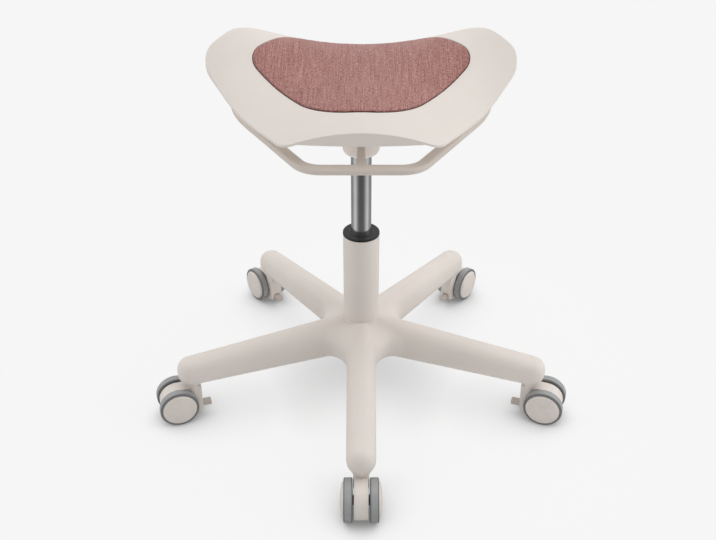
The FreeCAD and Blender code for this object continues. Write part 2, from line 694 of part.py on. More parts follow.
def seat(seat_screws):
    """Saddle shell with its cover, and the upholstered inlay on its board."""
    whole = seat_outline(0)
    slab = sheet(top_face(0), whole, -OVERRUN)
    lens = slab.common(sheet(under_face(0), whole, OVERRUN)).fuse(sheet(top_face(0), whole, -RIM_THICKNESS))
    lens = lens.removeSplitter()
    lens = lens.makeFillet(RIM_ROUND, upper_edges(lens))
    shell = lens.cut(sheet(top_face(-SHELL_WALL), seat_outline(RIM_LAND), -SEAT_REACH))
    tray = sheet(top_face(-LAYER_GAP), pad_outline(-SHELL_WALL), LAYER_GAP - PAD_RECESS - SHELL_WALL)
    tray = tray.common(lens)
    shell = shell.fuse(tray).cut(sheet(top_face(-PAD_RECESS), pad_outline(0), OVERRUN))
    posts = [rod(POST_RADIUS, PLATE_TOP, SEAT_Z, x, y) for x, y in screw_places()]
    roof = sheet(top_face(-PAD_RECESS - LAYER_GAP), pad_outline(0), OVERRUN)
    shell = shell.fuse([post.cut(roof) for post in posts]).cut(seat_screws)
    keep("seat_shell", shell)

    opening = level_prism(plate_corners(PLATE_GAP), PLATE_TOP - OVERRUN, SEAT_Z)
    inside = seat_outline(RIM_LAND + COVER_GAP)
    wall = SHELL_WALL + COVER_GAP
    lid = sheet(under_face(0), inside, COVER_WALL)
    lid = lid.cut(sheet(top_face(-wall), whole, OVERRUN)).cut(opening)
    lid = lid.cut(sheet(top_face(-PAD_RECESS - wall), pad_outline(-wall), OVERRUN))
    keep("under_cover", lid)

    lining = pad_outline(PAD_SEAM_GAP + COVER_CLOTH)
    board_top = BOARD_THICKNESS - PAD_RECESS
    keep("pad_board", sheet(top_face(-PAD_RECESS), lining, BOARD_THICKNESS))
    foam = sheet(top_face(board_top), lining, PAD_CROWN - COVER_CLOTH - board_top)
    foam = foam.makeFillet(PAD_ROUND - COVER_CLOTH, upper_edges(foam))
    keep("pad_foam", foam)
    cloth = sheet(top_face(board_top), pad_outline(PAD_SEAM_GAP), PAD_CROWN - board_top)
    cloth = cloth.makeFillet(PAD_ROUND, upper_edges(cloth))
    keep("pad_cover", cloth.cut(foam))


def upper_edges(slab):
    """Edges round the top face of a slab of the inlay."""
    widest = sorted(slab.Faces, key=lambda face: face.Area)[-2:]
    top = max(widest, key=lambda face: face.CenterOfMass.z)
    return top.Edges


def wheel_frame(shape, side):
    """Stand a body turned about Z on the axle, its height pointing to one side."""
    shape = shape.copy()
    shape.rotate(ORIGIN, Vector(1, 0, 0), -90 * side)
    shape.translate(Vector(CASTER_TRAIL, 0, WHEEL_RADIUS))
    return shape


def wheel(side):
    """Hub, web and domed face of one wheel, without its tyre."""
    rim = WHEEL_RADIUS - TYRE_DEPTH
    face = WHEEL_INNER + TYRE_WIDTH
    hub_start = HOUSING_HALF_WIDTH + WHEEL_HUB_GAP
    body = turned([(0, hub_start, 0), (WHEEL_HUB_RADIUS, hub_start, 0),
                   (WHEEL_HUB_RADIUS, face - WHEEL_WALL, 0), (rim - WHEEL_WALL, face - WHEEL_WALL, 0),
                   (rim - WHEEL_WALL, WHEEL_INNER, 0), (rim, WHEEL_INNER, 0), (rim, face, 0),
                   (rim - WHEEL_FACE, face + WHEEL_FACE, 0), (0, face + WHEEL_FACE, 0)])
    cap_radius = rim - WHEEL_FACE
    ball = (cap_radius ** 2 + WHEEL_DOME ** 2) / (2 * WHEEL_DOME)
    top = face + WHEEL_FACE + WHEEL_DOME
    dome = Part.makeSphere(ball, Vector(0, 0, top - ball)).common(rod(cap_radius, face, top))
    body = body.fuse(dome).removeSplitter()
    return wheel_frame(body.cut(rod(AXLE_RADIUS + RUNNING_GAP, 0, face)), side)


def tyre(side):
    """Soft ring round one wheel."""
    inner = WHEEL_RADIUS - TYRE_DEPTH
    face = WHEEL_INNER + TYRE_WIDTH
    body = turned([(inner, WHEEL_INNER, 0), (WHEEL_RADIUS, WHEEL_INNER, TYRE_ROUND),
                   (WHEEL_RADIUS, face, TYRE_ROUND), (inner, face, 0)])
    return wheel_frame(body, side)


def caster_housing():
    """Housing between the wheels: a round cheek, an upright back and a neck."""
    drum = WHEEL_RADIUS - HOUSING_INSET
    top = WHEEL_RADIUS + drum
    bottom = WHEEL_RADIUS - drum
    side = [(-HOUSING_BACK, bottom, HOUSING_ROUND), (CASTER_TRAIL + drum, bottom, drum),
            (CASTER_TRAIL + drum, top, drum), (-HOUSING_BACK, top, HOUSING_ROUND)]
    wire = outline(side, upright)
    wire.translate(Vector(0, -HOUSING_HALF_WIDTH, 0))
    body = Part.Face(wire).extrude(Vector(0, 2 * HOUSING_HALF_WIDTH, 0))
    rims = [e for e in body.Edges if abs(e.BoundBox.YLength) < NO_LENGTH]
    body = body.makeFillet(HOUSING_ROUND / 2, rims)
    body = body.fuse(rod(NECK_RADIUS, WHEEL_RADIUS, ARM_TIP_BOTTOM - NECK_GAP))
    stem_bottom = ARM_TIP_BOTTOM - STEM_IN_CASTER
    body = body.cut(rod(STEM_RADIUS + RUNNING_GAP, stem_bottom, ARM_TIP_BOTTOM))
    axle = Part.makeCylinder(AXLE_RADIUS, 2 * HOUSING_HALF_WIDTH,
                             Vector(CASTER_TRAIL, -HOUSING_HALF_WIDTH, WHEEL_RADIUS), Vector(0, 1, 0))
    room_half = BRAKE_TAB_HALF_WIDTH + BRAKE_GAP
    room_end = BRAKE_KNUCKLE_RADIUS + BRAKE_GAP - BRAKE_PIVOT_X
    room = block(-OVERRUN, room_end, -room_half, room_half,
                 BRAKE_PIVOT_Z - BRAKE_KNUCKLE_RADIUS - BRAKE_SWING_ROOM,
                 BRAKE_PIVOT_Z + BRAKE_KNUCKLE_RADIUS + BRAKE_GAP)
    return body.cut([axle, room, brake_trunnion(RUNNING_GAP)]).removeSplitter()


def brake_trunnion(grow):
    """Cross bar that the brake lever turns on."""
    half = BRAKE_TAB_HALF_WIDTH + BRAKE_TRUNNION_BITE + grow
    return Part.makeCylinder(BRAKE_TRUNNION_RADIUS + grow, 2 * half,
                             Vector(-BRAKE_PIVOT_X, -half, BRAKE_PIVOT_Z), Vector(0, 1, 0))


def brake_lever():
    """Foot tab with its knuckle and trunnions."""
    half = BRAKE_TAB_HALF_WIDTH
    end = -HOUSING_BACK - BRAKE_TAB_LENGTH
    low = BRAKE_PIVOT_Z - BRAKE_TAB_HEIGHT / 2
    tab = block(end, -BRAKE_PIVOT_X, -half, half, low, low + BRAKE_TAB_HEIGHT)
    ends = [e for e in tab.Edges if e.BoundBox.XMax < end + NO_LENGTH]
    tab = tab.makeFillet(BRAKE_ROUND, ends)
    knuckle = Part.makeCylinder(BRAKE_KNUCKLE_RADIUS, 2 * half,
                                Vector(-BRAKE_PIVOT_X, -half, BRAKE_PIVOT_Z), Vector(0, 1, 0))
    return tab.fuse([knuckle, brake_trunnion(0)]).removeSplitter()


def caster_stem():
    """Steel stem that joins a caster to its arm."""
    bottom = ARM_TIP_BOTTOM - STEM_IN_CASTER + RUNNING_GAP
    top = ARM_TIP_BOTTOM + STEM_IN_ARM
    return turned([(0, bottom, 0), (STEM_RADIUS, bottom, STEM_CHAMFER),
                   (STEM_RADIUS, top, STEM_CHAMFER), (0, top, 0)])


def caster_axle():
    """Steel axle through the housing and both wheels."""
    half = TYRE_OUTER - AXLE_CAP
    return Part.makeCylinder(AXLE_RADIUS, 2 * half, Vector(CASTER_TRAIL, -half, WHEEL_RADIUS), Vector(0, 1, 0))


def casters():
    """Five alike casters, wheels trailing outwards, and the stems that hold them."""
    pieces = {"housing": caster_housing(), "axle": caster_axle(), "brake_lever": brake_lever(),
              "wheel_left": wheel(1), "tyre_left": tyre(1), "wheel_right": wheel(-1), "tyre_right": tyre(-1)}
    for piece, shape in pieces.items():
        shape.translate(Vector(ARM_REACH, 0, 0))
        for number, copy in enumerate(turned_copies(shape)):
            keep("caster_%d_%s" % (number + 1, piece), copy)
    stem = caster_stem()
    stem.translate(Vector(ARM_REACH, 0, 0))
    keep("caster_stems", Part.makeCompound(turned_copies(stem)))


keep("star_base", star_base())
gas_lift()
seat(seat_head())
ring_lever()
casters()

os.makedirs("parts", exist_ok=True)
for name, shape in PIECES.items():
    shape.exportStep("parts/" + name + ".step")
    print(name, len(shape.Solids), "solids", shape.isValid(), round(shape.Volume), "mm3")
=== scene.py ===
"""Looks of the saddle stool: an upholstered inlay, finishes for every piece, and a pale studio."""

import json
import logging
import math
from dataclasses import dataclass, field
from enum import Enum

import bpy
import numpy
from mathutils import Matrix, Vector


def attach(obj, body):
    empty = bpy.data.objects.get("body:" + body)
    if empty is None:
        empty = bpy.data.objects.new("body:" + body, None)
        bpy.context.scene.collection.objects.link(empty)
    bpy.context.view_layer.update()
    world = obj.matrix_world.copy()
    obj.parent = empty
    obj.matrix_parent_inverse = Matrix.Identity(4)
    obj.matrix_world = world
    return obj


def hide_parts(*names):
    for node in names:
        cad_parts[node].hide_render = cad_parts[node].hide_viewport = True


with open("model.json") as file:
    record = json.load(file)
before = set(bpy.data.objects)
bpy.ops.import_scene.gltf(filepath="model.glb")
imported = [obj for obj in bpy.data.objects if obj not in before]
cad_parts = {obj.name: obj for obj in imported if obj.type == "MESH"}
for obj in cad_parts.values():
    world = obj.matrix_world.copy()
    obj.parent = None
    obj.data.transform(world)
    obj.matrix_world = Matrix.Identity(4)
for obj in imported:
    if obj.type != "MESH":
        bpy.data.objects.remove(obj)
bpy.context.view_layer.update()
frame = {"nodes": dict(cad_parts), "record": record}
LOG = logging.getLogger("stool")
MM = 0.001
CASTER_COUNT = 5
MERGE_DISTANCE = 0.01 * MM
LEAST_MOVE = 1e-9

Colour = tuple[float, float, float]
Step = tuple[float, float]
Setting = object


def paint_tone(red: int, green: int, blue: int) -> Colour:
    """Linear colour of a paint chart's value, by the sRGB standard's curve.

    Args:
        red: red from 0 to 255.
        green: green from 0 to 255.
        blue: blue from 0 to 255.

    Returns:
        The colour as shaders take it.
    """
    shares = [value / 255 for value in (red, green, blue)]
    return tuple(s / 12.92 if s <= 0.04045 else ((s + 0.055) / 1.055) ** 2.4 for s in shares)


def opaque(colour: Colour) -> tuple[float, float, float, float]:
    """The colour with full cover."""
    return (*colour, 1.0)


def grey(tone: float) -> Colour:
    """A grey of one linear tone."""
    return (tone, tone, tone)


def scaled(colour: Colour, share: float) -> Colour:
    """The colour with each channel multiplied by a share."""
    return tuple(share * channel for channel in colour)


class Value:
    """A quantity that varies over a surface, for use in sums."""

    def __init__(self, sheet: "NodeSheet", socket: bpy.types.NodeSocket) -> None:
        """Keeps the socket and the sheet that it is on."""
        self.sheet = sheet
        self.socket = socket

    def _sum(self, operation: str, first: Setting, second: Setting = 0.0) -> "Value":
        """Adds one Math node.

        Args:
            operation: the node's operation.
            first: its first number or value.
            second: its second one, which some operations leave out.

        Returns:
            The node's result.
        """
        return self.sheet.add("ShaderNodeMath", {"operation": operation}, {0: first, 1: second})

    def __add__(self, other: Setting) -> "Value":
        """Sum."""
        return self._sum("ADD", self, other)

    def __sub__(self, other: Setting) -> "Value":
        """Difference."""
        return self._sum("SUBTRACT", self, other)

    def __rsub__(self, other: Setting) -> "Value":
        """Difference, the other way round."""
        return self._sum("SUBTRACT", other, self)

    def __mul__(self, other: Setting) -> "Value":
        """Product."""
        return self._sum("MULTIPLY", self, other)

    def __truediv__(self, other: Setting) -> "Value":
        """Quotient."""
        return self._sum("DIVIDE", self, other)

    def __pow__(self, other: Setting) -> "Value":
        """Power."""
        return self._sum("POWER", self, other)

    def sine(self) -> "Value":
        """Sine of the value in radians."""
        return self._sum("SINE", self)

    def size(self) -> "Value":
        """The value without its sign."""
        return self._sum("ABSOLUTE", self)

    def ramp(self, low: float, high: float) -> "Value":
        """A smooth step.

        Args:
            low: value at which the step starts.
            high: value at which the step ends.

        Returns:
            0 below low, 1 above high and an even curve between them.
        """
        settings = {"interpolation_type": "SMOOTHSTEP"}
        return self.sheet.add("ShaderNodeMapRange", settings, {0: self, 1: low, 2: high, 3: 0.0, 4: 1.0})


class NodeSheet:
    """The nodes of one material or of the world."""

    def __init__(self, tree: bpy.types.NodeTree) -> None:
        """Starts an empty sheet."""
        self.tree = tree
        self.tree.nodes.clear()

    def add(self, kind: str, settings: dict[str, Setting], inputs: dict, output: int | str = 0) -> Value:
        """Adds a node.

        Args:
            kind: the node's type.
            settings: its settings, which are set first.
            inputs: values or links of its sockets, by name or place.
            output: the socket that is returned.

        Returns:
            The chosen output as a value.
        """
        node = self.tree.nodes.new(kind)
        for name, value in settings.items():
            setattr(node, name, value)
        for name, value in inputs.items():
            if isinstance(value, Value):
                self.tree.links.new(value.socket, node.inputs[name])
            else:
                node.inputs[name].default_value = value
        return Value(self, node.outputs[output])

    def place(self) -> Value:
        """The point on the piece, in metres."""
        return self.add("ShaderNodeTexCoord", {}, {}, "Object")

    def stretched(self, scale: tuple[float, float, float]) -> Value:
        """The point on the piece, with each axis multiplied by a scale."""
        inputs = {"Vector": self.place(), "Scale": scale}
        return self.add("ShaderNodeMapping", {"vector_type": "POINT"}, inputs)

    def noise(self, scale: tuple[float, float, float], detail: float, roughness: float = 0.5) -> Value:
        """Cloudy noise between 0 and 1.

        Args:
            scale: features in a metre along each axis.
            detail: number of finer layers.
            roughness: strength of the finer layers.

        Returns:
            The noise.
        """
        inputs = {"Vector": self.stretched(scale), "Scale": 1.0, "Detail": detail, "Roughness": roughness}
        return self.add("ShaderNodeTexNoise", {"noise_dimensions": "3D"}, inputs)

    def pores(self) -> Value:
        """Fine pores of rubber and satin plastic, between 0 and 1."""
        return self.noise((1500.0, 1500.0, 1500.0), detail=3.0, roughness=0.6)

    def patches(self) -> Value:
        """Worn or dusty patches a few centimetres wide, between 0 and 1."""
        return self.noise((60.0, 60.0, 60.0), detail=5.0, roughness=0.65)

    def axis(self, name: str) -> Value:
        """One coordinate of the point on the piece, in metres."""
        return self.add("ShaderNodeSeparateXYZ", {}, {0: self.place()}, name)

    def mixed(self, share: Setting, first: Setting, second: Setting) -> Value:
        """Blend of two colours by a share."""
        return self.add("ShaderNodeMix", {"data_type": "RGBA"}, {0: share, 6: first, 7: second}, 2)

    def joined(self, share: Setting, first: Value, second: Value) -> Value:
        """Blend of two shaders by a share."""
        return self.add("ShaderNodeMixShader", {}, {0: share, 1: first, 2: second})

    def glow(self, tone: Colour, strength: Setting) -> Value:
        """Shader that gives off light of one colour."""
        return self.add("ShaderNodeEmission", {}, {"Color": opaque(tone), "Strength": strength})

    def ray(self, kind: str) -> Value:
        """1 for light paths of one kind, such as Is Camera Ray, and 0 for all others."""
        return self.add("ShaderNodeLightPath", {}, {}, kind)

    def bump(self, height: Value, depth: float) -> Value:
        """Normal of a surface with small relief.

        Args:
            height: relief between 0 and 1.
            depth: height of the relief in metres.

        Returns:
            The normal.
        """
        return self.add("ShaderNodeBump", {}, {"Strength": 1.0, "Distance": depth, "Height": height})


def new_material(name: str) -> tuple[bpy.types.Material, NodeSheet]:
    """An empty material and its sheet."""
    material = bpy.data.materials.new(name)
    material.use_nodes = True
    return material, NodeSheet(material.node_tree)


def finished(sheet: NodeSheet, inputs: dict[str, Setting]) -> None:
    """Ends a sheet with one surface shader."""
    close(sheet, sheet.add("ShaderNodeBsdfPrincipled", {}, inputs))


def close(sheet: NodeSheet, surface: Value, output: str = "ShaderNodeOutputMaterial") -> None:
    """Links a shader to the output of a material or of the world.

    Args:
        sheet: the nodes.
        surface: the shader.
        output: the type of the output node, which is added.
    """
    node = sheet.tree.nodes.new(output)
    sheet.tree.links.new(surface.socket, node.inputs["Surface"])


class Gloss(Enum):
    """How smooth a moulded or painted surface is."""

    MATT = 0.62
    SATIN = 0.46
    POLISHED = 0.32


@dataclass(frozen=True)
class MouldedFinish:
    """Moulded plastic or powder coat, with a fine grain and faint clouds in its colour."""

    name: str
    colour: Colour
    gloss: Gloss
    grain_size: float = 0.9 * MM
    grain_depth: float = 0.018 * MM
    clouds: float = 0.03
    cloud_scale: float = 9.0
    cloud_share: float = 0.7
    cloud_step: Step = (0.3, 0.7)
    roughness_spread: float = 0.14
    refraction: float = 1.48
    specular: float = 0.42

    def material(self) -> bpy.types.Material:
        """Builds the material."""
        material, sheet = new_material(self.name)
        grain = sheet.noise((1 / self.grain_size,) * 3, detail=3.0, roughness=0.6)
        cloud = sheet.noise((self.cloud_scale,) * 3, detail=4.0)
        lighter = opaque(scaled(self.colour, 1 + self.clouds))
        darker = opaque(scaled(self.colour, 1 - self.clouds))
        shade = cloud * self.cloud_share + grain * (1 - self.cloud_share)
        finished(sheet, {
            "Base Color": sheet.mixed(shade.ramp(*self.cloud_step), darker, lighter),
            "Roughness": grain * self.roughness_spread + (self.gloss.value - self.roughness_spread / 2),
            "Normal": sheet.bump(grain, self.grain_depth),
            "IOR": self.refraction,
            "Specular IOR Level": self.specular,
        })
        return material


@dataclass(frozen=True)
class WovenFinish:
    """Heathered upholstery cloth: two yarns that cross, each with streaks of lighter fibre, with painted
    shade in the weave's valleys and along the seam.
    """

    name: str
    dark: Colour
    middle: Colour
    light: Colour
    pitch: float = 1.1 * MM
    streak: float = 2.6 * MM
    strand: float = 40 * MM
    fibre_share: float = 0.55
    crossing: Step = (-0.4, 0.4)
    warp_share: float = 0.6
    strand_share: float = 0.22
    weft_share: float = 0.18
    dark_step: Step = (0.38, 0.5)
    light_step: Step = (0.5, 0.6)
    valley_shade_step: Step = (0.0, 0.75)
    valley_shade_tone: float = 0.55
    # Tone of the painted shade along the seam, as a share of the dark yarn.
    seam_shade_tone: float = 0.3
    yarn_relief: float = 0.8
    fibre_relief: float = 0.4
    depth: float = 0.25 * MM
    roughness: float = 0.95
    yarn_gloss: float = 0.1
    sheen: float = 0.25
    sheen_roughness: float = 0.45
    specular: float = 0.2

    def material(self) -> bpy.types.Material:
        """Builds the material."""
        material, sheet = new_material(self.name)
        turn = math.pi / self.pitch
        across = (sheet.axis("X") * turn).sine()
        along = (sheet.axis("Y") * turn).sine()
        over = (across * along).ramp(*self.crossing)
        relief = over * across.size() + (1 - over) * along.size()
        fine = 1 / (self.fibre_share * self.pitch)
        slow = 1 / self.streak
        long = 1 / self.strand
        warp_fibre = sheet.noise((fine, slow, slow), detail=1.0, roughness=0.6)
        strand = sheet.noise((fine, long, long), detail=0.0)
        weft_fibre = sheet.noise((2 * slow, fine, slow), detail=1.0, roughness=0.6)
        heather = warp_fibre * self.warp_share + strand * self.strand_share + weft_fibre * self.weft_share
        low = sheet.mixed(heather.ramp(*self.dark_step), opaque(self.dark), opaque(self.middle))
        tone = sheet.mixed(heather.ramp(*self.light_step), low, opaque(self.light))
        # Painted shade: the low valleys between the yarns are darkened, as the shade that falls in them.
        painted_valley_shade = opaque(scaled(self.dark, self.valley_shade_tone))
        woven = sheet.mixed(relief.ramp(*self.valley_shade_step), painted_valley_shade, tone)
        # Painted shade: where the pad's seam mark is set, the cloth turns to a deep shade of the dark yarn,
        # as the seam gap's shadow.
        seam_shade_share = sheet.add("ShaderNodeAttribute", {"attribute_name": "painted_seam_shade"}, {}, "Fac")
        height = relief * self.yarn_relief + warp_fibre * self.fibre_relief
        finished(sheet, {
            "Base Color": sheet.mixed(seam_shade_share, woven, opaque(scaled(self.dark, self.seam_shade_tone))),
            "Roughness": relief * -self.yarn_gloss + self.roughness,
            "Normal": sheet.bump(height, self.depth),
            "Sheen Weight": self.sheen,
            "Sheen Roughness": self.sheen_roughness,
            "Specular IOR Level": self.specular,
        })
        return material


@dataclass(frozen=True)
class MetalFinish:
    """Bright metal, turned or plated, with hairlines round the column."""

    name: str
    colour: Colour
    roughness: float
    hairline: float = 0.5 * MM
    line_scale: float = 40.0
    line_depth: float = 0.004 * MM
    line_spread: float = 0.1
    cloud_scale: tuple[float, float, float] = (30.0, 30.0, 12.0)
    cloud_step: Step = (0.3, 0.7)
    cloud_tone: float = 0.86
    cloud_spread: float = 0.05

    def material(self) -> bpy.types.Material:
        """Builds the material."""
        material, sheet = new_material(self.name)
        scale = (self.line_scale, self.line_scale, 1 / self.hairline)
        line = sheet.noise(scale, detail=3.0, roughness=0.6)
        cloud = sheet.noise(self.cloud_scale, detail=3.0)
        duller = opaque(scaled(self.colour, self.cloud_tone))
        smoothest = self.roughness - (self.line_spread + self.cloud_spread) / 2
        finished(sheet, {
            "Base Color": sheet.mixed(cloud.ramp(*self.cloud_step), duller, opaque(self.colour)),
            "Metallic": 1.0,
            "Roughness": line * self.line_spread + cloud * self.cloud_spread + smoothest,
            "Normal": sheet.bump(line, self.line_depth),
        })
        return material


@dataclass(frozen=True)
class RubberFinish:
    """Soft tread or seal, dull, with dust that lightens it in patches."""

    name: str
    colour: Colour
    dust: Colour
    roughness: float = 0.55
    dust_step: Step = (0.42, 0.78)
    dust_share: float = 0.35
    patch_spread: float = 0.2
    pore_spread: float = 0.1
    pore_depth: float = 0.02 * MM
    specular: float = 0.35

    def material(self) -> bpy.types.Material:
        """Builds the material."""
        material, sheet = new_material(self.name)
        pores, patch = sheet.pores(), sheet.patches()
        dusty = patch.ramp(*self.dust_step) * self.dust_share
        smoothest = self.roughness - (self.patch_spread + self.pore_spread) / 2
        finished(sheet, {
            "Base Color": sheet.mixed(dusty, opaque(self.colour), opaque(self.dust)),
            "Roughness": patch * self.patch_spread + pores * self.pore_spread + smoothest,
            "Normal": sheet.bump(pores, self.pore_depth),
            "Specular IOR Level": self.specular,
        })
        return material


@dataclass(frozen=True)
class BandedFinish:
    """Finish of a caster's wheels or tyres, with a second colour beside a band round the axle; on the
    wheels that colour is painted shade of the gap by the housing.
    """

    name: str
    middle: tuple[float, float, float]
    axle: tuple[float, float, float]
    band: float
    half_width: float
    colour: Colour
    beside: Colour
    roughness: float
    groove: float
    groove_pitch: float = 1.4 * MM
    fade: float = 0.8 * MM
    patch_step: Step = (0.35, 0.7)
    patch_tone: float = 0.93
    patch_spread: float = 0.12
    pore_spread: float = 0.08
    pore_relief: float = 0.3
    depth: float = 0.05 * MM
    specular: float = 0.45

    def material(self) -> bpy.types.Material:
        """Builds the material."""
        material, sheet = new_material(self.name)
        places = [sheet.axis(name) - start for name, start in zip("XY", self.middle)]
        along = (places[0] * self.axle[0] + places[1] * self.axle[1]).size()
        beside = (along - self.band).size().ramp(self.half_width, self.half_width + self.fade)
        pores, patch = sheet.pores(), sheet.patches()
        rings = (along * (2 * math.pi / self.groove_pitch)).sine() * (1 - beside) * self.groove
        darker = opaque(scaled(self.colour, self.patch_tone))
        plain = sheet.mixed(patch.ramp(*self.patch_step), opaque(self.colour), darker)
        smoothest = self.roughness - (self.patch_spread + self.pore_spread) / 2
        finished(sheet, {
            "Base Color": sheet.mixed(beside, plain, opaque(self.beside)),
            "Roughness": patch * self.patch_spread + pores * self.pore_spread + smoothest,
            "Normal": sheet.bump(pores * self.pore_relief + rings, self.depth),
            "Specular IOR Level": self.specular,
        })
        return material


WHITE = (1.0, 1.0, 1.0)
CREAM = paint_tone(229, 221, 214)
TREAD = paint_tone(164, 165, 166)
SIDE_WALL = paint_tone(118, 119, 120)
# Painted shade: the dark colour of the wheels' inner side, where the gap by the housing is in shade.
WHEEL_GAP_PAINTED_SHADE = paint_tone(70, 66, 64)
FINISHES = {
    "base_cream": MouldedFinish("cream_grained", CREAM, Gloss.SATIN, grain_depth=0.012 * MM),
    "tube_cream": MouldedFinish("cream_powder_coat", CREAM, Gloss.SATIN, grain_size=1.4 * MM,
                                grain_depth=0.01 * MM),
    "seat_cream": MouldedFinish("cream_fine_grain", CREAM, Gloss.MATT, grain_size=0.7 * MM),
    # The lever's cream is darker than CREAM as painted shade of the seat above it.
    "lever_cream": MouldedFinish("cream_paint_darkened_as_seat_shade", paint_tone(212, 202, 193), Gloss.SATIN,
                                 grain_depth=0.006 * MM),
    "caster_cream": MouldedFinish("cream_satin", CREAM, Gloss.SATIN, grain_depth=0.008 * MM),
    "brake_grey": MouldedFinish("warm_grey_satin", paint_tone(200, 190, 182), Gloss.SATIN),
    "black_plastic": MouldedFinish("black_satin", paint_tone(36, 36, 38), Gloss.SATIN, clouds=0.12),
    "plate_paint": MouldedFinish("black_paint", paint_tone(40, 40, 42), Gloss.POLISHED, clouds=0.1),
    "board": MouldedFinish("pressed_board", paint_tone(70, 62, 54), Gloss.MATT, clouds=0.15),
    "foam": MouldedFinish("open_foam", paint_tone(226, 222, 205), Gloss.MATT, grain_size=1.4 * MM,
                          grain_depth=0.2 * MM, clouds=0.06),
    "seal_rubber": RubberFinish("seal_black", paint_tone(38, 38, 40), paint_tone(70, 70, 70)),
    "tyre_grey": RubberFinish("tread_grey", paint_tone(160, 161, 162), paint_tone(172, 172, 172),
                              roughness=0.5),
    "satin_chrome": MetalFinish("satin_chrome", paint_tone(226, 226, 227), roughness=0.17),
    "steel": MetalFinish("zinc_plate", paint_tone(185, 187, 190), roughness=0.34),
    "pad_fabric": WovenFinish("dusty_pink_weave", paint_tone(140, 88, 84), paint_tone(183, 127, 120),
                              paint_tone(216, 172, 163)),
}
MATERIALS = {slot: finish.material() for slot, finish in FINISHES.items()}


def only(*objects: bpy.types.Object) -> None:
    """Selects these objects and nothing else; the first one becomes the active one."""
    bpy.ops.object.select_all(action="DESELECT")
    for each in objects:
        each.select_set(True)
    bpy.context.view_layer.objects.active = objects[0]


def dress(piece: bpy.types.Object, slot: str) -> None:
    """Gives a piece one finish all over."""
    if piece.material_slots:
        for place in piece.material_slots:
            place.material = MATERIALS[slot]
    else:
        piece.data.materials.append(MATERIALS[slot])


def apply_modifier(piece: bpy.types.Object, kind: str, settings: dict[str, Setting]) -> None:
    """Adds one modifier to a piece and applies it.

    Args:
        piece: the piece, which has to be the active object.
        kind: the modifier's type.
        settings: its settings.
    """
    modifier = piece.modifiers.new(kind.lower(), kind)
    for name, value in settings.items():
        setattr(modifier, name, value)
    bpy.ops.object.modifier_apply(modifier=modifier.name)


def points_of(piece: bpy.types.Object) -> numpy.ndarray:
    """The piece's points, one row each."""
    flat = numpy.empty(len(piece.data.vertices) * 3)
    piece.data.vertices.foreach_get("co", flat)
    return flat.reshape(-1, 3)


def normals_of(piece: bpy.types.Object) -> numpy.ndarray:
    """The normals at the piece's points, one row each."""
    flat = numpy.empty(len(piece.data.vertices) * 3)
    piece.data.vertices.foreach_get("normal", flat)
    return flat.reshape(-1, 3)


def copy_of_node(node: str, name: str) -> bpy.types.Object:
    """A merged copy of a CAD node's mesh as a new piece.

    Args:
        node: the node.
        name: the new piece's name.

    Returns:
        The new piece, selected alone.
    """
    piece = bpy.data.objects.new(name, frame["nodes"][node].data.copy())
    bpy.context.scene.collection.objects.link(piece)
    only(piece)
    bpy.ops.object.mode_set(mode="EDIT")
    bpy.ops.mesh.select_all(action="SELECT")
    bpy.ops.mesh.remove_doubles(threshold=MERGE_DISTANCE)
    bpy.ops.mesh.customdata_custom_splitnormals_clear()
    bpy.ops.mesh.normals_make_consistent(inside=False)
    bpy.ops.object.mode_set(mode="OBJECT")
    return piece


